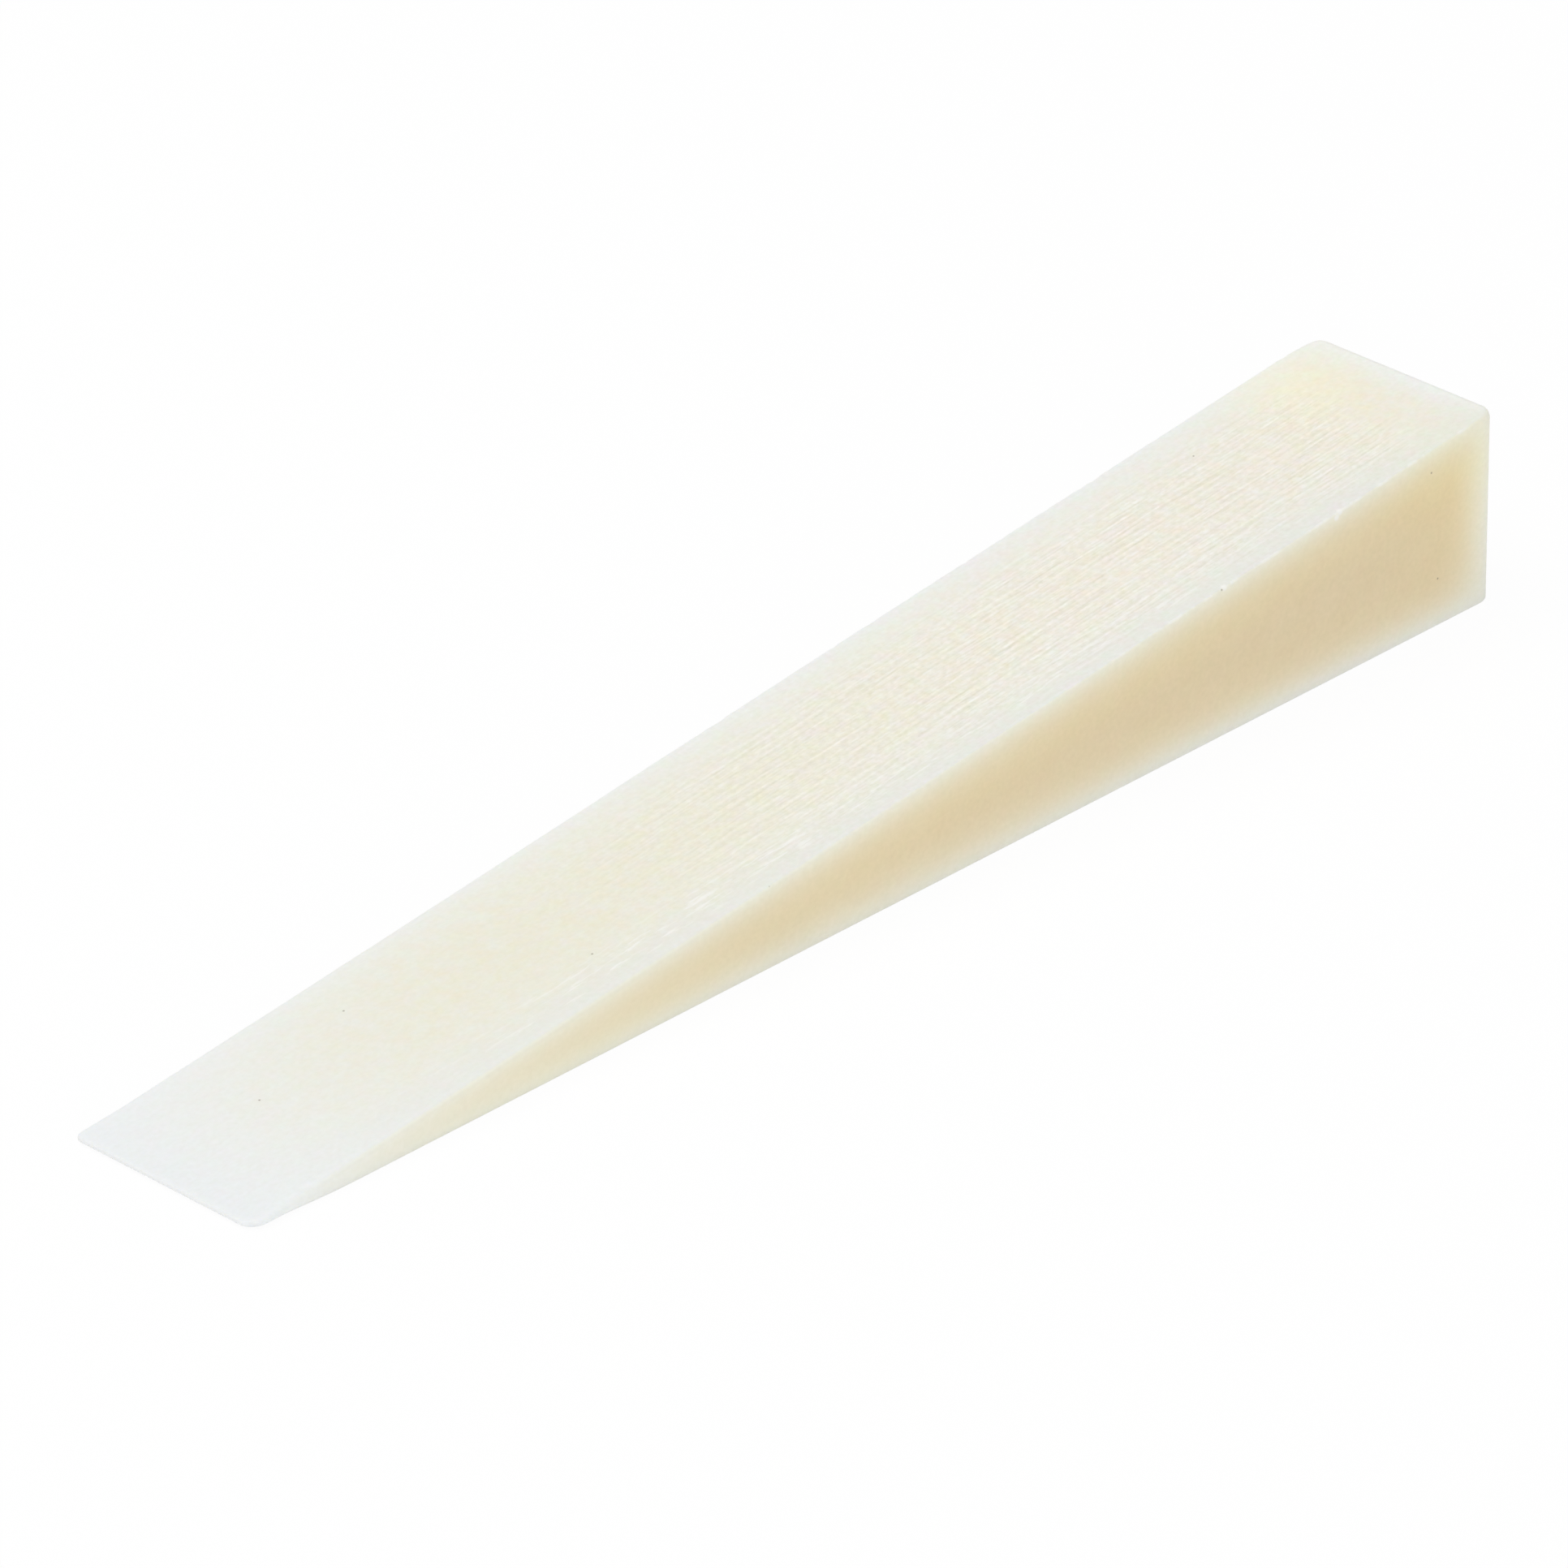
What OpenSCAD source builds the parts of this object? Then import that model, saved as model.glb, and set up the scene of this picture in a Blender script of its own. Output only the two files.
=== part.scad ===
// Plastic wedge for prising vehicle trim loose.
// One solid moulding: a flat base, two upright sides, a straight ramp and a square tail that takes a mallet.
// The tip points to -X, the tail to +X, and the origin lies under the middle of the base.

/* [Wedge] */
// Length from the tip to the tail
wedge_length = 200; // [120:1:300]
// Width between the two sides
wedge_width = 28; // [16:0.5:60]
// Height of the tail above the base, before its top edge is rounded
tail_height = 25; // [12:0.5:60]
// Thickness of the tip
tip_thickness = 1; // [0.6:0.1:4]

/* [Tip] */
// Radius of the tip's corner on the -Y side, seen from above
tip_corner_near_r = 3; // [0.3:0.1:6]
// Radius of the tip's corner on the +Y side, seen from above
tip_corner_far_r = 0.6; // [0.3:0.1:6]
// Radius of the two edges across the tip
tip_edge_r = 0.35; // [0.1:0.05:1.5]

/* [Tail] */
// Radius of the tail's two upright corners, seen from above
tail_corner_r = 2.5; // [0.3:0.1:6]
// Radius of the edge between the ramp and the tail
tail_top_r = 1.2; // [0.2:0.1:5]
// Radius of the edge between the base and the tail
tail_base_r = 0.4; // [0.2:0.1:5]

/* [Long edges] */
// Width of the bevel that breaks the long edges of the base and the ramp
edge_break = 0.3; // [0.1:0.05:1]

/* [Hidden] */
$fn = 96;

// Colour of the natural plastic
natural_nylon = [0.93, 0.91, 0.82];

// Slope of the ramp above the base
ramp_angle = atan2(tail_height - tip_thickness, wedge_length);

// The tip's two edges share its thickness, so neither radius takes more than its share
tip_edge_share = 0.45;
tip_edge_fit_r = min(tip_edge_r, tip_edge_share * tip_thickness);

// Flats that make up each round in the side view
round_flats = 8;

// Solids that cut or cross others reach this far past them
overshoot = 1;

function unit(v) = v / norm(v);

// Half the angle of the corner at p, between its neighbours a and b
function half_corner(p, a, b) = acos(unit(a - p) * unit(b - p)) / 2;

// Centre of a round of radius r that touches both edges of that corner
function round_centre(p, a, b, r) =
    p + unit(unit(a - p) + unit(b - p)) * r / sin(half_corner(p, a, b));

// Point where the round leaves the edge from p towards a
function round_end(p, a, b, r) = p + unit(a - p) * r / tan(half_corner(p, a, b));

// Points along the round, from the edge towards a to the edge towards b
function round_points(p, a, b, r) =
    let (centre = round_centre(p, a, b, r),
         start = round_end(p, a, b, r) - centre,
         turn = 180 - 2 * half_corner(p, a, b))
    [for (i = [0 : round_flats])
        let (t = turn * i / round_flats)
        centre + [start.x * cos(t) - start.y * sin(t), start.x * sin(t) + start.y * cos(t)]];

// The corners before and after corner i of a closed outline
function before(points, i) = points[(i + len(points) - 1) % len(points)];
function after(points, i) = points[(i + 1) % len(points)];

// Side view: base, tail, ramp and tip, counter-clockwise, with X along the wedge and Y up
module side_outline() {
    corners = [
        [-wedge_length / 2, 0],
        [wedge_length / 2, 0],
        [wedge_length / 2, tail_height],
        [-wedge_length / 2, tip_thickness],
    ];
    radii = [tip_edge_fit_r, tail_base_r, tail_top_r, tip_edge_fit_r];
    polygon([
        for (i = [0 : len(corners) - 1])
            each round_points(corners[i], before(corners, i), after(corners, i), radii[i])
    ]);
}

// The sliver between the corner at p and a round of radius r in it
module corner_sliver(p, a, b, r) {
    centre = round_centre(p, a, b, r);
    difference() {
        polygon([p, round_end(p, a, b, r), centre, round_end(p, b, a, r)]);
        translate(centre) circle(r = r);
    }
}

// View from above: a long rectangle, less the slivers outside its four rounds
module plan_outline() {
    corners = [
        [-wedge_length / 2, -wedge_width / 2],
        [wedge_length / 2, -wedge_width / 2],
        [wedge_length / 2, wedge_width / 2],
        [-wedge_length / 2, wedge_width / 2],
    ];
    radii = [tip_corner_near_r, tail_corner_r, tail_corner_r, tip_corner_far_r];
    difference() {
        polygon(corners);
        for (i = [0 : len(corners) - 1])
            corner_sliver(corners[i], before(corners, i), after(corners, i), radii[i]);
    }
}

// A square bar along X, turned on its corner, that bevels an edge lying on the X axis
module edge_cutter() {
    bar = edge_break * sqrt(2);
    bar_length = wedge_length / cos(ramp_angle) + 2 * overshoot;
    rotate([45, 0, 0])
        translate([bar_length / 2 - overshoot, 0, 0])
            cube([bar_length, bar, bar], center = true);
}

// Bevels along both long edges of the base and of the ramp
module long_edge_cutters() {
    for (side = [-1, 1]) {
        translate([-wedge_length / 2, side * wedge_width / 2, 0])
            edge_cutter();
        translate([-wedge_length / 2, side * wedge_width / 2, tip_thickness])
            rotate([0, -ramp_angle, 0])
                edge_cutter();
    }
}

module wedge() {
    color(natural_nylon)
        difference() {
            intersection() {
                rotate([90, 0, 0])
                    linear_extrude(wedge_width + 2 * overshoot, center = true)
                        side_outline();
                translate([0, 0, -overshoot])
                    linear_extrude(tail_height + 2 * overshoot)
                        plan_outline();
            }
            long_edge_cutters();
        }
}

wedge();
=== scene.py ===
"""Visual model of a moulded plastic trim wedge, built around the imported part."""
import math

import bmesh
import bpy
import numpy as np
from bpy.props import FloatProperty, FloatVectorProperty, IntProperty, PointerProperty
from mathutils import Matrix, Vector, noise


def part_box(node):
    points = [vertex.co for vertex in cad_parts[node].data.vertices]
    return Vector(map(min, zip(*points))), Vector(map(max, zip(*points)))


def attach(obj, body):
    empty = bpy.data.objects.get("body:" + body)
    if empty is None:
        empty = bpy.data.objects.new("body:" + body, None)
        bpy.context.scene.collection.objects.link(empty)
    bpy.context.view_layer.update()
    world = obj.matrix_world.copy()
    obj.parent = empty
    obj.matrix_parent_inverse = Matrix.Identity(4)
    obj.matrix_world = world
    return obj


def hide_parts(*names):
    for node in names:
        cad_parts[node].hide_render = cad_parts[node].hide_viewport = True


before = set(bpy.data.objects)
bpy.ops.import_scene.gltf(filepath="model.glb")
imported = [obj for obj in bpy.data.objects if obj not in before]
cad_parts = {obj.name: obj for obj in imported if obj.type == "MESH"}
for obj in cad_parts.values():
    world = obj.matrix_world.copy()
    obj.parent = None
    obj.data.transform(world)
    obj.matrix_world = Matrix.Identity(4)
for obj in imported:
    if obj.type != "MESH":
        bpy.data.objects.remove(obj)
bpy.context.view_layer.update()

bl_info = {
    "name": "Trim Wedge",
    "version": (1, 0, 0),
    "blender": (4, 5, 0),
    "location": "View3D > Sidebar > Trim Wedge",
    "description": "Builds a moulded plastic trim wedge and a plain stage for it",
    "category": "Object",
}

BODY = "root"
NODE = "wedge"
MM = 0.001
BOX_LOW, BOX_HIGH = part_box(NODE)


def length_property(name, description, default):
    """A length in metres that the sidebar shows in the scene's own unit."""
    return FloatProperty(name=name, description=description, default=default, min=0.0, unit="LENGTH",
                         precision=5)


def offset_property(name, description, default):
    """A length in metres that may lie below 0."""
    return FloatProperty(name=name, description=description, default=default, unit="LENGTH", precision=5)


def angle_property(name, description, degrees):
    """An angle, given in degrees."""
    return FloatProperty(name=name, description=description, default=math.radians(degrees), subtype="ANGLE")


def power_property(name, description, default):
    """A lamp's power in watts."""
    return FloatProperty(name=name, description=description, default=default, min=0.0, unit="POWER")


def colour_property(name, description, default):
    """A linear colour."""
    return FloatVectorProperty(name=name, description=description, default=default, min=0.0, max=1.0,
                               size=3, subtype="COLOR")


def share_property(name, description, default):
    """A number from 0 to 1."""
    return FloatProperty(name=name, description=description, default=default, min=0.0, max=1.0,
                         subtype="FACTOR")


class WedgeShape(bpy.types.PropertyGroup):
    """Sizes of the wedge."""

    length: length_property("Length", "From the tip to the tail", BOX_HIGH.x - BOX_LOW.x)
    width: length_property("Width", "Between the two sides", BOX_HIGH.y - BOX_LOW.y)
    tail_height: length_property("Tail height", "Height of the tail before its top edge is rounded", 25 * MM)
    tip_thickness: length_property("Tip thickness", "Thickness of the tip", 1 * MM)
    tip_corner_near: length_property("Tip corner, near", "Radius of the tip's -Y corner", 2.2 * MM)
    tip_corner_far: length_property("Tip corner, far", "Radius of the tip's +Y corner", 0.8 * MM)
    tip_edge: length_property("Tip edge", "Radius of the two edges across the tip", 0.2 * MM)
    tip_lift: length_property("Tip lift", "How far the underside rises towards the tip", 0.3 * MM)
    tip_lift_run: length_property("Tip lift run", "Length of the rise at the tip", 14 * MM)
    tail_corner: length_property("Tail corner", "Radius of the tail's upright corners", 2.5 * MM)
    tail_top: length_property("Tail top edge", "Radius between the ramp and the tail", 1.3 * MM)
    tail_base: length_property("Tail base edge", "Radius between the base and the tail", 0.4 * MM)
    tail_ease: length_property("Tail edge ease", "Radius of the ramp's long edges where they reach the tail",
                               1.0 * MM)
    sharp_edge: length_property("Sharp edge", "Radius of the long edges where they are sharp", 0.28 * MM)
    soft_edge: length_property("Soft edge", "Radius of the long edges near the tip", 0.75 * MM)
    nick: length_property("Nicks", "Extra radius where the ramp's long edges are nicked", 0.35 * MM)
    sink: length_property("Sink", "How far the sides sink in between their edges", 0.12 * MM)
    groove: length_property("Grooves", "Depth of the sanding grooves on the ramp", 0.035 * MM)
    step: length_property("Mesh step", "Distance between two sections along the wedge", 0.45 * MM)
    ramp_columns: IntProperty(name="Ramp columns", description="Faces across the ramp", default=84, min=8)
    side_rows: IntProperty(name="Side rows", description="Faces up each side", default=16, min=4)
    base_columns: IntProperty(name="Base columns", description="Faces across the base", default=24, min=4)
    corner_faces: IntProperty(name="Corner faces", description="Faces round each long edge", default=5, min=2)


class WedgeFinish(bpy.types.PropertyGroup):
    """Colours and surface of the milky plastic, with painted light and shade from the light that shines
    through it.
    """

    ramp_front: colour_property("Ramp, front", "Colour of the ramp towards the tip", (0.825, 0.794, 0.643))
    ramp_back: colour_property("Ramp, back", "Colour of the ramp towards the tail", (0.886, 0.820, 0.700))
    # Painted light along the ramp's long edges; the -Y one is dimmer, as painted shade.
    ramp_rim_light_near: colour_property("Ramp rim, near", "Colour of the ramp along its edge on the -Y side",
                                   (0.806, 0.812, 0.764))
    ramp_rim_light_far: colour_property("Ramp rim, far", "Colour of the ramp along its edge on the +Y side",
                                  (0.846, 0.869, 0.860))
    # Milky colour at the thin tip, partly painted light that shines through it; it also darkens the tip's
    # rounded corners as painted shade.
    ramp_milk_and_light: colour_property("Ramp milk", "Colour of the ramp over the thin tip", (0.845, 0.869, 0.877))
    side_core: colour_property("Side core", "Colour of the smooth faces over thick plastic",
                               (0.750, 0.626, 0.403))
    # Painted light along the edges of the smooth faces, from light that comes in through the faces beside
    # them.
    side_rim_light: colour_property("Side rim", "Colour of the smooth faces along their edges",
                              (0.872, 0.862, 0.740))
    # Milky colour at the thin tip, partly painted light that shines through it.
    side_milk_and_light: colour_property("Side milk", "Colour of the smooth faces at the thin tip",
                               (0.868, 0.910, 0.936))
    lip: colour_property("Lip", "Colour of the tip's end, which light shines through", (0.935, 0.945, 0.94))
    # Painted light along the tail's and the base's edges and along the ramp's end.
    edge: colour_property("Edge", "Colour of the tail's and the base's edges", (0.90, 0.91, 0.875))
    scuff: colour_property("Scuffs", "Colour of the white scuffs, dashes, flakes and burr",
                           (0.95, 0.947, 0.91))
    speck: colour_property("Specks", "Colour of the dark specks in the plastic", (0.16, 0.11, 0.06))
    # The streaks' torn ridges carry a painted highlight and a painted shadow.
    streak: share_property("Streaks", "How much the sanding streaks lighten and darken the ramp", 0.25)
    ramp_roughness: share_property("Ramp roughness", "Roughness of the sanded ramp", 0.62)
    side_roughness: share_property("Side roughness", "Roughness of the smooth sides", 0.42)
    subsurface: share_property("Subsurface", "Share of the light that scatters inside", 0.2)
    scatter: length_property("Scatter", "How far red light scatters inside", 2 * MM)


class WedgeStage(bpy.types.PropertyGroup):
    """Camera, floor and light."""

    distance: length_property("Distance", "From the camera to the middle of the base", 1.2842)
    azimuth: angle_property("Azimuth", "Camera's turn about the upright axis", -45.353)
    elevation: angle_property("Elevation", "Camera's angle above the floor", 28.789)
    roll: angle_property("Roll", "Camera's turn about its own line of sight", -0.576)
    shift_right: offset_property("Shift right", "How far the origin lies right of the picture's middle",
                                 3.413 * MM)
    shift_up: offset_property("Shift up", "How far the origin lies above the picture's middle", -8.354 * MM)
    lens: FloatProperty(name="Lens", description="Focal length in millimetres", default=261.82, min=1.0)
    floor_colour: colour_property("Floor", "Colour of the floor", (0.97, 0.97, 0.97))
    floor_white: share_property("Floor white", "Share of plain white in what is seen of the floor", 0.95)
    sky: FloatProperty(name="Sky", description="Strength of the even light all round", default=0.56, min=0.0)
    lamp: power_property("Lamp", "Power of the large lamp overhead", 6.3)
    fill: power_property("Fill", "Power of the lamp that faces the near side", 3.5)


# Shape of the wedge

# Sections in each round at the ends, and the least distance between two sections
ROUND_SECTIONS = 13
LEAST_GAP = 0.004 * MM

# Share of the wedge's height that the round of a long edge takes at most
ROUND_SHARE = 0.46

# Stretch from the tip over which the base's long edges turn sharp
BASE_EDGE_RUN = 16 * MM

# Shares of the length between which the ramp's long edges turn sharp, and between which they get worn
EDGE_TURNS_SHARP = (0.2, 0.62)
EDGE_GETS_WORN = (0.35, 0.55)

# Distances from the tail between which the ramp's long edges lose the ease that they have there
TAIL_EASE_FADES = (0.5 * MM, 7 * MM)

# Share by which a long edge's radius varies, and what wear adds to it
UNEVEN = 0.06
UNEVEN_WORN = 0.19

# Waves and nicks to the millimetre along a long edge, the noise at which a nick starts and what makes it full
EDGE_WAVES = 0.11
EDGE_NICKS = 0.55
NICK_START = 0.28
NICK_FULL = 0.5

# Points that lie no further than this below the ramp are on it
RAMP_GAP = 0.01 * MM

# Distances from the sides between which the sanding grooves set in, and shares of the length between which
# they set in and end
GROOVES_SET_IN_ACROSS = (0.4 * MM, 2.5 * MM)
GROOVES_SET_IN = (0.25, 0.55)
GROOVES_END = (0.92, 0.97)

# Grooves to the millimetre along and across the ramp, their slope to its length, and how far below 0 the
# noise starts to cut
GROOVES_ALONG = 0.05
GROOVES_ACROSS = 1.3
GROOVE_SLOPE = 0.038
GROOVE_START = 0.4

# Seeds of the noise on each long edge, of its nicks and of the grooves
NEAR_SEED = 2.0
FAR_SEED = 5.0
NICK_SEED = 7.3
GROOVE_SEED = 11.0


def end_inset(distance, radius):
    """How far a quarter round of that radius has pulled a face in, at that distance from the end."""
    short = np.clip(radius - distance, 0.0, radius)
    return radius - np.sqrt(radius ** 2 - short ** 2)


def smooth_rise(value, low, high):
    """0 below low, 1 above high and a smooth curve between."""
    t = np.clip((value - low) / (high - low), 0.0, 1.0)
    return t * t * (3.0 - 2.0 * t)


def wave(points, seed):
    """Smooth noise of about -1 to 1 at each point of an array of (x, y)."""
    return np.array([noise.noise((x, y, seed)) for x, y in points])


def ramp_slope(shape):
    """Rise of the ramp for each unit of length."""
    return (shape.tail_height - shape.tip_thickness) / shape.length


def ramp_round(x, shape, centre_x, radius):
    """Height of a round that touches the ramp and an end face, at each x."""
    slope = ramp_slope(shape)
    ramp_z = shape.tip_thickness + slope * (centre_x + shape.length / 2)
    centre_z = ramp_z - radius * math.hypot(1.0, slope)
    return centre_z + np.sqrt(np.clip(radius ** 2 - (x - centre_x) ** 2, 0.0, None))


def top_height(x, shape):
    """Height of the ramp at each x, with the rounds at the tail and the tip."""
    half = shape.length / 2
    slope = ramp_slope(shape)
    lean = slope / math.hypot(1.0, slope)
    top = shape.tip_thickness + slope * (x + half)
    tail_x = half - shape.tail_top
    on_tail = x > tail_x - shape.tail_top * lean
    top = np.where(on_tail, ramp_round(x, shape, tail_x, shape.tail_top), top)
    tip_x = shape.tip_edge - half
    on_tip = x < tip_x - shape.tip_edge * lean
    return np.where(on_tip, ramp_round(x, shape, tip_x, shape.tip_edge), top)


def station_places(shape):
    """Places along X where the wedge has a section: even steps, and closer ones round the ends."""
    half = shape.length / 2
    places = list(np.arange(-half + shape.tip_corner_near, half - shape.tail_corner, shape.step))
    turns = np.linspace(0.0, math.pi / 2, ROUND_SECTIONS)
    for radius in (shape.tip_corner_near, shape.tip_corner_far, shape.tip_edge):
        places.extend(-half + radius * (1.0 - np.sin(turns)))
    for radius in (shape.tail_corner, shape.tail_top, shape.tail_base):
        places.extend(half - radius * (1.0 - np.sin(turns)))
    places = np.sort(places)
    apart = np.concatenate([[True], np.diff(places) > LEAST_GAP])
    return places[apart]


def clustered(count):
    """Shares from 0 to 1 that lie closer together at both ends, halfway between even ones and a cosine's."""
    t = np.linspace(0.0, 1.0, count + 1)
    return 0.5 * t + 0.5 * (0.5 - 0.5 * np.cos(math.pi * t))


def edge_radii(x, shape, seed):
    """Radius of the ramp's long edge at each x: soft at the tip, then sharp and nicked, eased at the tail."""
    along = (x + shape.length / 2) / shape.length
    soft = 1.0 - smooth_rise(along, *EDGE_TURNS_SHARP)
    radius = shape.sharp_edge + (shape.soft_edge - shape.sharp_edge) * soft
    places = np.stack([x / MM, np.zeros_like(x)], 1)
    worn = smooth_rise(along, *EDGE_GETS_WORN)
    uneven = 1.0 + (UNEVEN + UNEVEN_WORN * worn) * wave(places * EDGE_WAVES, seed)
    nicks = worn * np.clip(wave(places * EDGE_NICKS, seed + NICK_SEED) - NICK_START, 0.0, None) / NICK_FULL
    tail = 1.0 - smooth_rise(shape.length / 2 - x, *TAIL_EASE_FADES)
    return radius * uneven + shape.nick * nicks + (shape.tail_ease - shape.sharp_edge) * tail


def section_points(shape):
    """Corners of every section, as an array of (section, corner, 3), round from the base's near edge."""
    x = station_places(shape)
    half = shape.length / 2
    from_tip, from_tail = x + half, half - x
    lift = shape.tip_lift * (1.0 - smooth_rise(from_tip, 0.0, shape.tip_lift_run))
    low = lift + end_inset(from_tail, shape.tail_base) + end_inset(from_tip, shape.tip_edge)
    high = top_height(x, shape)
    tail_inset = end_inset(from_tail, shape.tail_corner)
    near = -shape.width / 2 + end_inset(from_tip, shape.tip_corner_near) + tail_inset
    far = shape.width / 2 - end_inset(from_tip, shape.tip_corner_far) - tail_inset
    most = ROUND_SHARE * (high - low)
    soft = 1.0 - smooth_rise(from_tip, 0.0, BASE_EDGE_RUN)
    base_r = np.minimum(shape.sharp_edge + (shape.soft_edge - shape.sharp_edge) * soft, most)
    near_r = np.minimum(edge_radii(x, shape, NEAR_SEED), most)
    far_r = np.minimum(edge_radii(x, shape, FAR_SEED), most)

    def level(place, shares):
        return place[:, None] * np.ones_like(shares)

    def line(start, end, shares):
        return start[:, None] + (end - start)[:, None] * shares[None]

    def arc(centre_y, centre_z, radius, start):
        turn = math.radians(start) + np.linspace(0.0, math.pi / 2, shape.corner_faces + 1)[1:-1]
        y = centre_y[:, None] + radius[:, None] * np.cos(turn)
        z = centre_z[:, None] + radius[:, None] * np.sin(turn)
        return y, z

    base, side, ramp = (clustered(n) for n in (shape.base_columns, shape.side_rows, shape.ramp_columns))
    runs = [
        (line(near + base_r, far - base_r, base), level(low, base)),
        arc(far - base_r, low + base_r, base_r, -90),
        (level(far, side), line(low + base_r, high - far_r, side)),
        arc(far - far_r, high - far_r, far_r, 0),
        (line(far - far_r, near + near_r, ramp), level(high, ramp)),
        arc(near + near_r, high - near_r, near_r, 90),
        (level(near, side), line(high - near_r, low + base_r, side)),
        arc(near + base_r, low + base_r, base_r, 180),
    ]
    y = np.concatenate([run[0] for run in runs], 1)
    z = np.concatenate([run[1] for run in runs], 1)
    return np.stack([x[:, None] * np.ones_like(y), y, z], 2)


def wear(points, shape):
    """Sinks the sides a little between their edges and cuts shallow sanding grooves into the ramp."""
    x, y, z = points[..., 0], points[..., 1], points[..., 2]
    along = (x + shape.length / 2) / shape.length
    top = top_height(x[:, :1], shape)
    up = np.clip(z / np.maximum(top, MM), 0.0, 1.0)
    bowl = np.sin(math.pi * np.clip(along, 0.0, 1.0)) * np.sin(math.pi * up) ** 2
    on_side = np.abs(y) > shape.width / 2 - shape.tail_corner
    y -= np.where(on_side, np.sign(y) * shape.sink * bowl, 0.0)
    on_ramp = z > top - RAMP_GAP
    across = smooth_rise(shape.width / 2 - np.abs(y), *GROOVES_SET_IN_ACROSS)
    lengthwise = smooth_rise(along, *GROOVES_SET_IN) * (1.0 - smooth_rise(along, *GROOVES_END))
    turned = y.ravel() + GROOVE_SLOPE * x.ravel()
    places = np.stack([x.ravel() / MM * GROOVES_ALONG, turned / MM * GROOVES_ACROSS], 1)
    cut = np.clip(wave(places, GROOVE_SEED).reshape(x.shape) + GROOVE_START, 0.0, None)
    z -= np.where(on_ramp, shape.groove * cut * across * lengthwise, 0.0)


def wedge_mesh(shape):
    """The wedge as one closed mesh: quads between the sections and a face at each end."""
    points = section_points(shape)
    wear(points, shape)
    corners = points.shape[1]
    bm = bmesh.new()
    rings = [[bm.verts.new(p) for p in ring] for ring in points]
    for first, second in zip(rings, rings[1:]):
        for i in range(corners):
            j = (i + 1) % corners
            bm.faces.new((first[i], first[j], second[j], second[i]))
    bm.faces.new(rings[0][::-1])
    bm.faces.new(rings[-1])
    bmesh.ops.recalc_face_normals(bm, faces=bm.faces)
    mesh = bpy.data.meshes.new("nylon_wedge")
    bm.to_mesh(mesh)
    bm.free()
    mesh.polygons.foreach_set("use_smooth", [True] * len(mesh.polygons))
    return mesh


# Nodes

WHITE = (1.0, 1.0, 1.0, 1.0)

# Sockets of the Mix node, by number because its kinds share names: the share, both values and the result
COLOUR_MIX = (0, 6, 7, 2)
VECTOR_MIX = (1, 4, 5, 1)


class Graph:
    """A node tree, with short calls for the nodes that the finishes use."""

    def __init__(self, tree):
        self.tree = tree
        tree.nodes.clear()

    def feed(self, socket, value):
        """Links a socket into this one, or sets its value."""
        if isinstance(value, bpy.types.NodeSocket):
            self.tree.links.new(value, socket)
        elif value is not None:
            socket.default_value = value

    def node(self, kind, inputs=None, **settings):
        """Adds a node with these settings and inputs."""
        made = self.tree.nodes.new(kind)
        for name, value in settings.items():
            setattr(made, name, value)
        for key, value in (inputs or {}).items():
            self.feed(made.inputs[key], value)
        return made

    def math(self, operation, a, b=None):
        """One sum on numbers."""
        return self.node("ShaderNodeMath", {0: a, 1: b}, operation=operation).outputs[0]

    def joined(self, operation, values):
        """Numbers joined one after the other by the same sum."""
        result = values[0]
        for value in values[1:]:
            result = self.math(operation, result, value)
        return result

    def product(self, *values):
        """Numbers multiplied together."""
        return self.joined("MULTIPLY", values)

    def largest(self, *values):
        """The largest of these numbers."""
        return self.joined("MAXIMUM", values)

    def vector(self, operation, a, b=None, c=None):
        """One sum on vectors."""
        made = self.node("ShaderNodeVectorMath", {0: a, 1: b, 2: c}, operation=operation)
        return made.outputs["Value" if operation in ("DOT_PRODUCT", "DISTANCE") else "Vector"]

    def ease(self, value, low, high, start=0.0, end=1.0):
        """A smooth step from start at low to end at high."""
        ends = {"Value": value, "From Min": low, "From Max": high, "To Min": start, "To Max": end}
        return self.node("ShaderNodeMapRange", ends, interpolation_type="SMOOTHSTEP").outputs[0]

    def blend(self, sockets, values, **settings):
        """One value blended into another by a Mix node with these sockets."""
        *inputs, result = sockets
        return self.node("ShaderNodeMix", dict(zip(inputs, values)), **settings).outputs[result]

    def mix(self, share, a, b):
        """One colour blended into another."""
        return self.blend(COLOUR_MIX, (share, a, b), data_type="RGBA")

    def mix_channels(self, shares, a, b):
        """One colour blended into another, by a share of its own for each of red, green and blue."""
        return self.blend(VECTOR_MIX, (shares, a, b), data_type="VECTOR", factor_mode="NON_UNIFORM")

    def vary(self, colour, amount, tint):
        """A colour made lighter or darker by an amount about 0, with a strength for red, green and blue."""
        return self.vector("MULTIPLY", colour, self.vector("MULTIPLY_ADD", amount, tint, (1.0, 1.0, 1.0)))

    def noise(self, vector, scale, detail=2.0, roughness=0.5):
        """Fractal noise from 0 to 1."""
        inputs = {"Vector": vector, "Scale": scale, "Detail": detail, "Roughness": roughness}
        return self.node("ShaderNodeTexNoise", inputs).outputs[0]

    def centred_noise(self, vector, scale, detail=2.0, roughness=0.5):
        """Fractal noise about 0."""
        return self.math("SUBTRACT", self.noise(vector, scale, detail, roughness), 0.5)


def opaque(colour):
    """A colour property as the four numbers that a colour socket takes."""
    return (*colour, 1.0)


# Finish of the plastic, with painted light and shade in its colour. Lengths and places are in millimetres,
# and places count from the middle of the base.
# A step is written as the two values between which it runs, then what it starts and ends at if not 0 and 1.

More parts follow.
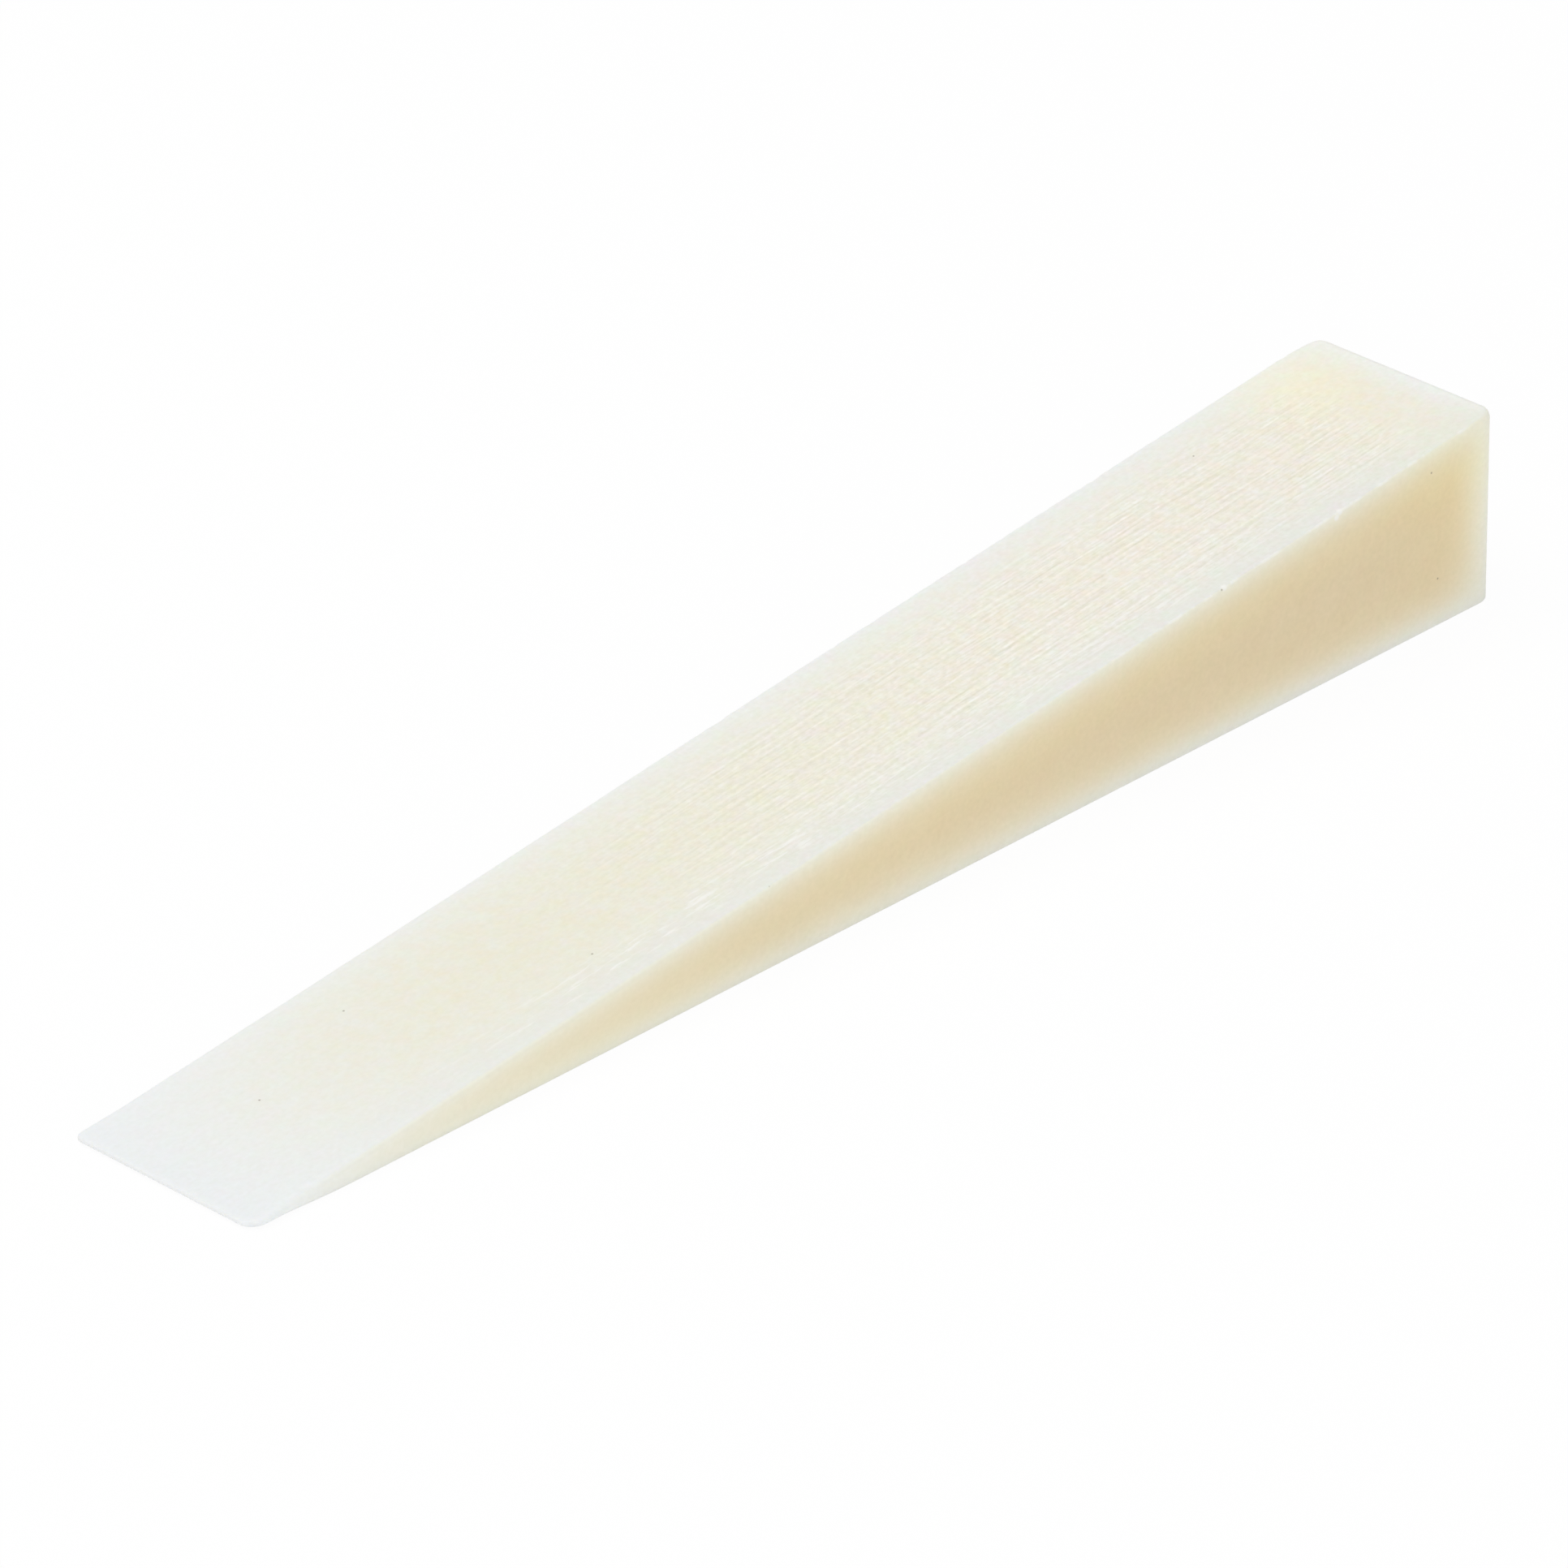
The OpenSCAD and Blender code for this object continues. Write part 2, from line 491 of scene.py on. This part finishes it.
# Dark specks in the plastic, the step from their middle to their rim, and how dark they are
SPECKS = (
    (-66.3, 7.1, 5.0),
    (-83.5, 2.35, 3.0),
    (71.3, 7.8, 21.6),
    (-42.3, -7.3, 7.9),
    (-21.2, -13.9, 10.4),
    (88.3, -14.0, 20.7),
    (89.8, -14.0, 6.3),
    (52.4, -14.0, 19.15),
)
SPECK_STEP = (0.06, 0.19, 1.0, 0.0)
SPECK_SHARE = 0.65

# White flakes on the near edge of the ramp, the step from their middle to their rim, and how white they are
FLAKES = (
    (72.5, -13.95, 21.6),
    (71.9, -13.95, 21.1),
    (52.9, -13.95, 19.3),
)
FLAKE_STEP = (0.2, 0.6, 1.0, 0.0)
FLAKE_SHARE = 0.8

# Where light that comes in through the tail gathers, how far it reaches, and its tint
AMBER_SPOTS = (((92.0, -14.0, 17.0), 9.9), ((90.0, 7.0, 23.8), 7.5), ((92.0, 14.0, 17.0), 9.9))
AMBER = (1.04, 1.03, 0.945)

# How light that comes in through the faces beside a face shows along its edges: the depth at which it has
# faded, and how abruptly it fades
RAMP_GLOW = {"near": (5.9, 1.14), "far": (6.0, 0.73), "tail": (3.8, 2.05)}
SIDE_GLOW = {
    "ramp": (3.0, 1.25),
    "base": (3.65, 1.43),
    "tail": (5.7, 2.4),
    "near": (4.5, 1.4),
    "far": (4.5, 1.4),
}

# Blue light is lost soonest inside the plastic and red light last, so each has a power of the rim's share
RAMP_LOSS = (0.57, 1.0, 1.25)
SIDE_LOSS = (0.66, 1.0, 1.28)

# How abruptly the pale lines along the edges fade, and the power that makes a fade a bell curve
EDGE_POWER = 1.3
BELL_POWER = 2.0

# Steps on the cosine of the angle to a face: onto the ramp, off a face to those beside it, away from the
# opposite face, onto the tail, and from the sides round the tip's corners to its end
ONTO_RAMP = (0.60, 0.97)
OFF_FACE = (0.80, 0.98, 1.0, 0.0)
OFF_OPPOSITE = (-0.9, -0.5)
ONTO_TAIL = (0.5, 0.9)
ONTO_TIP_CORNER = (0.13, 0.35)
ONTO_TIP_END = (0.75, 0.98)

# Depth below the ramp of the golden band of painted light on the smooth faces, half its width, and its tint
GOLDEN_DEPTH = 5.0
GOLDEN_REACH = 3.0
GOLDEN_TINT = (0.013, 0.012, -0.028)

# Thickness at which the plastic no longer looks milky, with painted light shining through it
RAMP_THIN = 3.9
SIDE_THIN = 2.65

# Steps from the ramp's front colour to its back one, and from the painted light of its near rim, dimmed as
# painted shade, to that of its far one
RAMP_TURNS_WARM = (-56.0, 60.0)
RIM_TURNS = (0.0, 9.0)

# Reach and strength of the pale lines of painted light: at the ramp's end, along the smooth faces and round
# the tail's face
RAMP_END_REACH = 2.2
RAMP_END_SHARE = 0.9
PALE_REACH = 1.7
PALE_STEP = (-10.0, 60.0, 0.1, 0.6)
BEHIND_REACH = 1.9
BEHIND_SHARE = 0.6

# Clouds in the plastic: how many to the millimetre, with their detail and roughness, and their tint
RAMP_CLOUDS = (0.5, 3.0, 0.65)
RAMP_CLOUD_TINT = (-0.02, 0.085, 0.4)
SIDE_CLOUDS = (0.22, 3.0)
SIDE_CLOUD_TINT = (0.05, 0.07, 0.14)

# Warm and cool mottle: how many spots to the millimetre, its steps along the wedge and onto the ramp, and
# its tint
BLUSH_SCALE = 0.48
BLUSH_ALONG = (-80.0, 40.0, 0.6, 1.1)
BLUSH_ON_RAMP = (0.0, 1.0, 0.4, 1.0)
BLUSH_TINT = (0.07, -0.08, 0.03)

# Fine grain: how many to the millimetre along, across and up, its roughness, its tint, its step along the
# wedge, what sanding adds to that, and its part in the gloss and in the relief
GRAIN_SCALE = (1.45, 1.75, 1.75)
GRAIN_ROUGHNESS = 0.55
GRAIN_TINT = (1.0, 1.0, 1.45)
GRAIN_ALONG = (-80.0, 0.0, 0.085, 0.115)
GRAIN_SANDED = 0.14
GRAIN_GLOSS = 0.12
GRAIN_RELIEF = 0.25

# Turn of the sanding marks from the wedge's length, and how many lie in a millimetre along and across them
STREAK_TURN = math.radians(0.5)
SOFT_STREAKS = (0.11, 1.3)
LONG_STREAKS = (0.075, 1.35)
SHORT_STREAKS = (0.13, 1.95)
SCRATCHES = (0.1, 1.6)
SCUFFS = (0.2, 1.5)
DASHES = (0.42, 1.9)

# Streaks: detail and strength of the soft ones, how far the painted highlight of a torn ridge lies from its
# painted shadow, and their tint
SOFT_DETAIL = 1.0
SOFT_SHARE = 0.35
TORN_RIDGE_SHADE_ASIDE = 0.25
STREAK_TINT = (1.0, 1.0, 1.4)

# Breaks in the streaks and patches of them: how many there are to the millimetre, and their steps
BREAKS = 1.3
BREAK_STEP = (0.36, 0.58, 0.6, 1.2)
PATCHES = 0.11
PATCH_STEP = (0.35, 0.6, 0.6, 1.0)

# Steps of the sanding along the wedge, and by the distance from its tail and its two sides
SANDED_FRONT = (-48.0, 10.0, 0.05, 1.0)
SANDED_TAIL = (16.0, 7.0, 1.0, 0.06)
SANDED_NEAR = (1.0, 5.5, 0.2, 1.0)
SANDED_FAR = (8.5, 2.5, 1.0, 0.1)

# Scuffs: detail and roughness, the step that leaves single marks, the steps by the distance from the near
# side and along the wedge, and how white they are
SCUFF_DETAIL = (3.0, 0.65)
SCUFF_STEP = (0.03, 0.15)
SCUFF_BAND = ((0.9, 2.6), (4.5, 8.0, 1.0, 0.0))
SCUFF_ALONG = ((-85.0, -35.0), (35.0, 88.0, 1.0, 0.0))
SCUFF_SHARE = 0.6

# Dashes: the step that leaves single ones, and how white they are
DASH_STEP = (0.09, 0.2)
DASH_SHARE = 0.4

# Burr: how it wanders, its step by the distance from the edge, its dashes, its step along the wedge, and how
# white it is
BURR_WANDER_SCALE = 1.6
BURR_WANDER = 0.25
BURR_STEP = (0.20, 0.30, 1.0, 0.0)
BURR_DASHES = (0.3, 0.05, 0.0)
BURR_DASH_DETAIL = (4.0, 0.6)
BURR_DASH_STEP = (0.46, 0.58)
BURR_ALONG = (15.0, 45.0)
BURR_SHARE = 0.5

# Strength and depth in metres of the relief
RELIEF_STRENGTH = 0.6
RELIEF_DEPTH = 0.06 * MM

# How the plastic bends light, and how far each colour scatters in it beside red
NYLON_IOR = 1.53
SCATTER_COLOURS = (1.0, 0.85, 0.6)


def face_planes(shape):
    """The flat faces: an outward normal and a point on each."""
    half_length, half_width = shape.length / 2, shape.width / 2
    ramp_normal = Vector((-ramp_slope(shape), 0.0, 1.0)).normalized()
    return {
        "ramp": (ramp_normal, Vector((-half_length, 0.0, shape.tip_thickness))),
        "base": (Vector((0.0, 0.0, -1.0)), Vector()),
        "near": (Vector((0.0, -1.0, 0.0)), Vector((0.0, -half_width, 0.0))),
        "far": (Vector((0.0, 1.0, 0.0)), Vector((0.0, half_width, 0.0))),
        "tail": (Vector((1.0, 0.0, 0.0)), Vector((half_length, 0.0, 0.0))),
        "tip": (Vector((-1.0, 0.0, 0.0)), Vector((-half_length, 0.0, 0.0))),
    }


class Plastic:
    """The nodes that say where on the wedge a point lies: its place, and its depth below each face."""

    def __init__(self, graph, shape):
        self.graph = graph
        self.half_length, self.half_width = shape.length / 2 / MM, shape.width / 2 / MM
        where = graph.node("ShaderNodeTexCoord")
        metres = {0: where.outputs["Object"], "Scale": 1.0 / MM}
        self.place = graph.node("ShaderNodeVectorMath", metres, operation="SCALE").outputs[0]
        apart = graph.node("ShaderNodeSeparateXYZ", {0: self.place})
        self.along, self.across = apart.outputs[0], apart.outputs[1]
        self.depth = {}
        self.facing = {}
        for name, (outward, point) in face_planes(shape).items():
            reach = graph.vector("DOT_PRODUCT", self.place, outward)
            below = graph.math("SUBTRACT", outward.dot(point) / MM, reach)
            self.depth[name] = graph.math("MAXIMUM", below, 0.0)
            self.facing[name] = graph.vector("DOT_PRODUCT", where.outputs["Normal"], outward)
        self.on_ramp = graph.ease(self.facing["ramp"], *ONTO_RAMP)
        self.turned = graph.node("ShaderNodeVectorRotate", {"Vector": self.place, "Angle": STREAK_TURN},
                                 rotation_type="Z_AXIS").outputs[0]

    def from_tail(self, low, high, start, end):
        """A smooth step along the wedge, between two distances from its tail."""
        return self.graph.ease(self.along, self.half_length - low, self.half_length - high, start, end)

    def from_near(self, low, high, start=0.0, end=1.0):
        """A smooth step across the wedge, between two distances from its -Y side."""
        return self.graph.ease(self.across, low - self.half_width, high - self.half_width, start, end)

    def from_far(self, low, high, start, end):
        """A smooth step across the wedge, between two distances from its +Y side."""
        return self.graph.ease(self.across, self.half_width - low, self.half_width - high, start, end)

    def fade(self, depth, reach, power):
        """1 at no depth, fading to 0 past that reach."""
        graph = self.graph
        faded = graph.math("POWER", graph.math("DIVIDE", depth, reach), power)
        return graph.math("EXPONENT", graph.math("MULTIPLY", faded, -1.0))

    def beside(self, name, reach, power):
        """1 at that face, fading to 0 past that reach, and 0 on the face itself."""
        off_face = self.graph.ease(self.facing[name], *OFF_FACE)
        return self.graph.math("MULTIPLY", self.fade(self.depth[name], reach, power), off_face)

    def rim(self, glow, loss):
        """For red, green and blue, from 0 in the middle of a face to 1 along its edges."""
        graph = self.graph
        dark = []
        for name, (reach, power) in glow.items():
            off_opposite = graph.ease(self.facing[name], *OFF_OPPOSITE)
            light = graph.math("MULTIPLY", self.beside(name, reach, power), off_opposite)
            dark.append(graph.math("SUBTRACT", 1.0, light))
        share = graph.math("SUBTRACT", 1.0, graph.product(*dark))
        powers = {i: graph.math("POWER", share, power) for i, power in enumerate(loss)}
        return graph.node("ShaderNodeCombineXYZ", powers).outputs[0]

    def edge(self, names, reach):
        """From 0 to 1 within that reach of the edges to those faces."""
        return self.graph.largest(*[self.beside(name, reach, EDGE_POWER) for name in names])

    def golden(self):
        """From 0 to 1 in the band below the ramp that its light reaches last."""
        away = self.graph.math("ABSOLUTE", self.graph.math("SUBTRACT", self.depth["ramp"], GOLDEN_DEPTH))
        return self.fade(away, GOLDEN_REACH, BELL_POWER)

    def thin(self, reach):
        """From 0 in thick plastic to 1 at the tip, by the thickness between the ramp and the base."""
        return self.fade(self.graph.math("ADD", self.depth["ramp"], self.depth["base"]), reach, BELL_POWER)

    def gathered(self, place, reach):
        """1 in that place, fading to 0 past that reach."""
        return self.fade(self.graph.vector("DISTANCE", self.place, place), reach, BELL_POWER)

    def stretched(self, scale, detail=2.0, roughness=0.5, aside=0.0):
        """Noise about 0 whose marks follow the sanding, moved aside by that many millimetres."""
        along, across = scale
        lengthwise = self.graph.vector("MULTIPLY_ADD", self.turned, (along, across, 0.0),
                                       (0.0, across * aside, 0.0))
        return self.graph.centred_noise(lengthwise, 1.0, detail, roughness)

    def torn_ridge_shading(self, scale):
        """Streaks about 0 that each have a painted highlight on one side and a painted shadow on the other.
        """
        return self.graph.math("SUBTRACT", self.stretched(scale), self.stretched(scale, aside=TORN_RIDGE_SHADE_ASIDE))

    def streaks(self):
        """Sanding streaks about 0: soft broad ones under thin torn ridges of painted highlight and shadow,
        broken lengthwise.
        """
        graph = self.graph
        soft = graph.math("MULTIPLY", self.stretched(SOFT_STREAKS, SOFT_DETAIL), SOFT_SHARE)
        torn_ridge_shading = graph.math("ADD", self.torn_ridge_shading(LONG_STREAKS), self.torn_ridge_shading(SHORT_STREAKS))
        broken = graph.ease(graph.noise(self.place, BREAKS), *BREAK_STEP)
        patchy = graph.ease(graph.noise(self.place, PATCHES), *PATCH_STEP)
        return graph.product(graph.math("ADD", soft, graph.math("MULTIPLY", torn_ridge_shading, broken)), patchy)

    def grain(self):
        """Fine grain about 0, a little longer along the wedge than across it."""
        scaled = self.graph.vector("MULTIPLY", self.turned, GRAIN_SCALE)
        return self.graph.centred_noise(scaled, 1.0, roughness=GRAIN_ROUGHNESS)

    def blush(self):
        """Warm and cool mottle about 0, strongest on the ramp towards the tail."""
        graph = self.graph
        mottle = graph.centred_noise(self.place, BLUSH_SCALE)
        lengthwise = graph.ease(self.along, *BLUSH_ALONG)
        return graph.product(mottle, lengthwise, graph.ease(self.on_ramp, *BLUSH_ON_RAMP))

    def sanded(self):
        """How strongly the ramp's streaks show: most over its middle, hardly at the tip and the edges."""
        lengthwise = self.graph.math("MULTIPLY", self.graph.ease(self.along, *SANDED_FRONT),
                                     self.from_tail(*SANDED_TAIL))
        inside = self.graph.math("MULTIPLY", self.from_far(*SANDED_FAR), self.from_near(*SANDED_NEAR))
        return self.graph.product(lengthwise, inside, self.on_ramp)

    def scuffs(self):
        """White marks ripped into the ramp beside its -Y edge."""
        graph = self.graph
        marks = graph.ease(self.stretched(SCUFFS, *SCUFF_DETAIL), *SCUFF_STEP)
        band = graph.product(*[self.from_near(*step) for step in SCUFF_BAND])
        lengthwise = graph.product(*[graph.ease(self.along, *step) for step in SCUFF_ALONG])
        return graph.product(marks, band, lengthwise, self.on_ramp)

    def burr(self):
        """1 on the sharp stretches of the ramp's long edges, in dashes."""
        graph = self.graph
        side = graph.math("MINIMUM", self.depth["near"], self.depth["far"])
        wander = graph.math("MULTIPLY", graph.centred_noise(self.place, BURR_WANDER_SCALE), BURR_WANDER)
        reach = graph.math("ADD", graph.math("ADD", self.depth["ramp"], side), wander)
        lengthwise = graph.vector("MULTIPLY", self.place, BURR_DASHES)
        dashes = graph.ease(graph.noise(lengthwise, 1.0, *BURR_DASH_DETAIL), *BURR_DASH_STEP)
        return graph.product(graph.ease(reach, *BURR_STEP), dashes, graph.ease(self.along, *BURR_ALONG))

    def spots(self, places, step):
        """1 in each of those places, with that step from its middle to its rim."""
        graph = self.graph
        away = [graph.vector("DISTANCE", self.place, place) for place in places]
        return graph.largest(*[graph.ease(distance, *step) for distance in away])


def ramp_colour(plastic, finish):
    """The ramp before it is sanded: warmer towards the tail, with painted light along its edges that is
    dimmer on the -Y side as painted shade, milky at the tip.
    """
    graph = plastic.graph
    warm = graph.ease(plastic.along, *RAMP_TURNS_WARM)
    core = graph.mix(warm, opaque(finish.ramp_front), opaque(finish.ramp_back))
    core = graph.vary(core, graph.centred_noise(plastic.place, *RAMP_CLOUDS), RAMP_CLOUD_TINT)
    # Painted light along the ramp's edges from light that comes in through the faces beside them, dimmed on
    # the -Y side as painted shade.
    rim = graph.mix(plastic.from_near(*RIM_TURNS), opaque(finish.ramp_rim_light_near), opaque(finish.ramp_rim_light_far))
    body = graph.mix_channels(plastic.rim(RAMP_GLOW, RAMP_LOSS), core, rim)
    # Painted light along the ramp's end at the tail.
    end = graph.math("MULTIPLY", plastic.edge(("tail",), RAMP_END_REACH), RAMP_END_SHARE)
    body = graph.mix(end, body, opaque(finish.edge))
    # Milky at the thin tip, partly painted light that shines through it.
    return graph.mix(plastic.thin(RAMP_THIN), body, opaque(finish.ramp_milk_and_light))


def side_colour(plastic, finish):
    """The smooth faces: deep beige where the plastic is thick, with painted light along their edges and in a
    band below the ramp, white at the tip, and painted shade on the tip's corners.
    """
    graph = plastic.graph
    facing = plastic.facing
    core = graph.vary(finish.side_core, graph.centred_noise(plastic.place, *SIDE_CLOUDS), SIDE_CLOUD_TINT)
    # Painted light along the edges of the smooth faces.
    body = graph.mix_channels(plastic.rim(SIDE_GLOW, SIDE_LOSS), core, finish.side_rim_light)
    # Painted light: a golden band below the ramp, where the light that comes in through it reaches last.
    body = graph.vary(body, plastic.golden(), GOLDEN_TINT)
    # Painted light along the edges to the tail and the base, and round the edges of the tail's face.
    pale = graph.product(plastic.edge(("tail", "base"), PALE_REACH), graph.ease(plastic.along, *PALE_STEP))
    behind = graph.product(plastic.edge(("near", "far", "ramp"), BEHIND_REACH),
                           graph.ease(facing["tail"], *ONTO_TAIL), BEHIND_SHARE)
    body = graph.mix(graph.largest(pale, behind), body, opaque(finish.edge))
    # Milky at the thin tip, partly painted light that shines through it.
    body = graph.mix(plastic.thin(SIDE_THIN), body, opaque(finish.side_milk_and_light))
    # Painted shade: the tip's rounded corners take the darker colour of the ramp over the tip.
    body = graph.mix(graph.ease(facing["tip"], *ONTO_TIP_CORNER), body, opaque(finish.ramp_milk_and_light))
    return graph.mix(graph.ease(facing["tip"], *ONTO_TIP_END), body, opaque(finish.lip))


def nylon_material(shape, finish):
    """Natural nylon: beige where thick, milky at the tip, with painted light along the edges and through the
    tip, sanded lengthwise on the ramp.
    """
    made = bpy.data.materials.new("natural_nylon")
    made.use_nodes = True
    graph = Graph(made.node_tree)
    plastic = Plastic(graph, shape)
    body = graph.mix(plastic.on_ramp, side_colour(plastic, finish), ramp_colour(plastic, finish))
    for place, reach in AMBER_SPOTS:
        amber = graph.mix(plastic.gathered(place, reach), WHITE, opaque(AMBER))
        body = graph.vector("MULTIPLY", body, amber)

    # Sanding streaks, whose thin torn ridges carry a painted highlight and a painted shadow.
    sanded = plastic.sanded()
    streak = graph.math("MULTIPLY", plastic.streaks(), sanded)
    body = graph.vary(body, streak, tuple(finish.streak * share for share in STREAK_TINT))
    grain = plastic.grain()
    coarse = graph.math("ADD", graph.ease(plastic.along, *GRAIN_ALONG),
                        graph.math("MULTIPLY", sanded, GRAIN_SANDED))
    body = graph.vary(body, graph.math("MULTIPLY", grain, coarse), GRAIN_TINT)
    body = graph.vary(body, plastic.blush(), BLUSH_TINT)
    dashes = graph.ease(plastic.stretched(DASHES), *DASH_STEP)
    white = graph.largest(
        graph.math("MULTIPLY", plastic.scuffs(), SCUFF_SHARE),
        graph.math("MULTIPLY", plastic.burr(), BURR_SHARE),
        graph.math("MULTIPLY", plastic.spots(FLAKES, FLAKE_STEP), FLAKE_SHARE),
        graph.product(dashes, sanded, DASH_SHARE),
    )
    body = graph.mix(white, body, opaque(finish.scuff))
    dark = graph.math("MULTIPLY", plastic.spots(SPECKS, SPECK_STEP), SPECK_SHARE)
    body = graph.mix(dark, body, opaque(finish.speck))

    rough = graph.ease(plastic.on_ramp, 0.0, 1.0, finish.side_roughness, finish.ramp_roughness)
    rough = graph.math("ADD", rough, graph.math("MULTIPLY", grain, GRAIN_GLOSS))
    relief = graph.math("ADD", graph.math("MULTIPLY", grain, GRAIN_RELIEF),
                        graph.math("MULTIPLY", plastic.stretched(SCRATCHES), sanded))
    bump = graph.node("ShaderNodeBump", {
        "Strength": RELIEF_STRENGTH,
        "Distance": RELIEF_DEPTH,
        "Height": relief,
    })

    shader = graph.node("ShaderNodeBsdfPrincipled", {
        "Base Color": body,
        "Roughness": rough,
        "Normal": bump.outputs[0],
        "IOR": NYLON_IOR,
        "Subsurface Weight": finish.subsurface,
        "Subsurface Radius": SCATTER_COLOURS,
        "Subsurface Scale": finish.scatter,
    })
    graph.node("ShaderNodeOutputMaterial", {"Surface": shader.outputs[0]})
    return made


# Stage

# Reach of the floor on each side of the origin, in metres
FLOOR_REACH = 4.0

# Place and size of each lamp, in metres
OVERHEAD_LAMP = ((-0.25, 0.35, 1.1), 1.0)
FILL_LAMP = ((-0.55, -1.1, 0.35), 0.7)

# Width of the camera's sensor in millimetres, and the nearest and furthest that it sees in metres
SENSOR_WIDTH = 36.0
CLIP_START = 0.05
CLIP_END = 20.0


def seen_directly(graph):
    """1 for what the camera sees, also in a reflection or through glass, and 0 for light on the object."""
    path = graph.node("ShaderNodeLightPath").outputs
    return graph.largest(path["Is Camera Ray"], path["Is Glossy Ray"], path["Is Transmission Ray"])


def floor_material(stage):
    """A pale matt floor that looks white and keeps a soft shadow."""
    made = bpy.data.materials.new("pale_floor")
    made.use_nodes = True
    graph = Graph(made.node_tree)
    matt = graph.node("ShaderNodeBsdfDiffuse", {"Color": opaque(stage.floor_colour)})
    white = graph.node("ShaderNodeEmission", {"Color": WHITE, "Strength": 1.0})
    share = graph.math("MULTIPLY", seen_directly(graph), stage.floor_white)
    both = graph.node("ShaderNodeMixShader", {0: share, 1: matt.outputs[0], 2: white.outputs[0]})
    graph.node("ShaderNodeOutputMaterial", {"Surface": both.outputs[0]})
    return made


def white_world(stage):
    """Even light all round, behind which the background is white."""
    world = bpy.data.worlds.new("white_room")
    world.use_nodes = True
    graph = Graph(world.node_tree)
    light = graph.node("ShaderNodeBackground", {"Color": WHITE, "Strength": stage.sky})
    white = graph.node("ShaderNodeBackground", {"Color": WHITE, "Strength": 1.0})
    seen = seen_directly(graph)
    both = graph.node("ShaderNodeMixShader", {0: seen, 1: light.outputs[0], 2: white.outputs[0]})
    graph.node("ShaderNodeOutputWorld", {"Surface": both.outputs[0]})
    return world


def place_camera(stage):
    """Sets the camera at its distance and angles, with the origin at its own place in the picture."""
    turn, rise, roll = stage.azimuth, stage.elevation, stage.roll
    back = Vector((math.sin(turn) * math.cos(rise), -math.cos(turn) * math.cos(rise), math.sin(rise)))
    level = Vector((math.cos(turn), math.sin(turn), 0.0))
    upright = back.cross(level)
    right = math.cos(roll) * level + math.sin(roll) * upright
    up = math.cos(roll) * upright - math.sin(roll) * level
    lens = bpy.data.cameras.new("camera")
    lens.sensor_width = SENSOR_WIDTH
    lens.lens = stage.lens
    lens.clip_start = CLIP_START
    lens.clip_end = CLIP_END
    camera = bpy.data.objects.new("camera", lens)
    place = back * stage.distance - right * stage.shift_right - up * stage.shift_up
    camera.matrix_world = Matrix.Translation(place) @ Matrix((right, up, back)).transposed().to_4x4()
    bpy.context.scene.collection.objects.link(camera)
    bpy.context.scene.camera = camera


def add_lamp(name, place, size, power):
    """A square lamp that looks at the origin."""
    light = bpy.data.lights.new(name, "AREA")
    light.size = size
    light.energy = power
    lamp = bpy.data.objects.new(name, light)
    lamp.location = place
    lamp.rotation_euler = Vector(place).to_track_quat("Z", "Y").to_euler()
    bpy.context.scene.collection.objects.link(lamp)


class AddWedge(bpy.types.Operator):
    """Build the wedge in the place of its plain solid"""

    bl_idname = "trim_wedge.add_wedge"
    bl_label = "Add Wedge"

    def execute(self, context):
        shape, finish = context.scene.wedge_shape, context.scene.wedge_finish
        wedge = bpy.data.objects.new("nylon_wedge", wedge_mesh(shape))
        context.scene.collection.objects.link(wedge)
        wedge.data.materials.append(nylon_material(shape, finish))
        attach(wedge, BODY)
        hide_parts(NODE)
        return {"FINISHED"}


class AddStage(bpy.types.Operator):
    """Build the floor, the light and the camera"""

    bl_idname = "trim_wedge.add_stage"
    bl_label = "Add Stage"

    def execute(self, context):
        stage = context.scene.wedge_stage
        mesh = bpy.data.meshes.new("floor")
        low, high = -FLOOR_REACH, FLOOR_REACH
        mesh.from_pydata([(low, low, 0), (high, low, 0), (high, high, 0), (low, high, 0)], [], [(0, 1, 2, 3)])
        floor = bpy.data.objects.new("floor", mesh)
        floor.data.materials.append(floor_material(stage))
        context.scene.collection.objects.link(floor)
        context.scene.world = white_world(stage)
        add_lamp("overhead_lamp", *OVERHEAD_LAMP, stage.lamp)
        add_lamp("fill_lamp", *FILL_LAMP, stage.fill)
        place_camera(stage)
        context.scene.view_settings.view_transform = "Standard"
        return {"FINISHED"}


class WedgePanel(bpy.types.Panel):
    """Sizes, finish and stage of the wedge"""

    bl_idname = "VIEW3D_PT_trim_wedge"
    bl_label = "Trim Wedge"
    bl_space_type = "VIEW_3D"
    bl_region_type = "UI"
    bl_category = "Trim Wedge"

    def draw(self, context):
        for label, group, operator in (
            ("Shape", context.scene.wedge_shape, None),
            ("Finish", context.scene.wedge_finish, AddWedge),
            ("Stage", context.scene.wedge_stage, AddStage),
        ):
            box = self.layout.box()
            box.label(text=label)
            for name in group.__annotations__:
                box.prop(group, name)
            if operator:
                box.operator(operator.bl_idname)


CLASSES = (WedgeShape, WedgeFinish, WedgeStage, AddWedge, AddStage, WedgePanel)


def register():
    """Makes the classes and the scene's settings known to Blender."""
    for item in CLASSES:
        bpy.utils.register_class(item)
    bpy.types.Scene.wedge_shape = PointerProperty(type=WedgeShape)
    bpy.types.Scene.wedge_finish = PointerProperty(type=WedgeFinish)
    bpy.types.Scene.wedge_stage = PointerProperty(type=WedgeStage)


def unregister():
    """Takes them away again."""
    del bpy.types.Scene.wedge_stage
    del bpy.types.Scene.wedge_finish
    del bpy.types.Scene.wedge_shape
    for item in reversed(CLASSES):
        bpy.utils.unregister_class(item)


def main():
    """Builds the wedge and its stage."""
    register()
    bpy.ops.trim_wedge.add_wedge()
    bpy.ops.trim_wedge.add_stage()


if __name__ == "__main__":
    main()
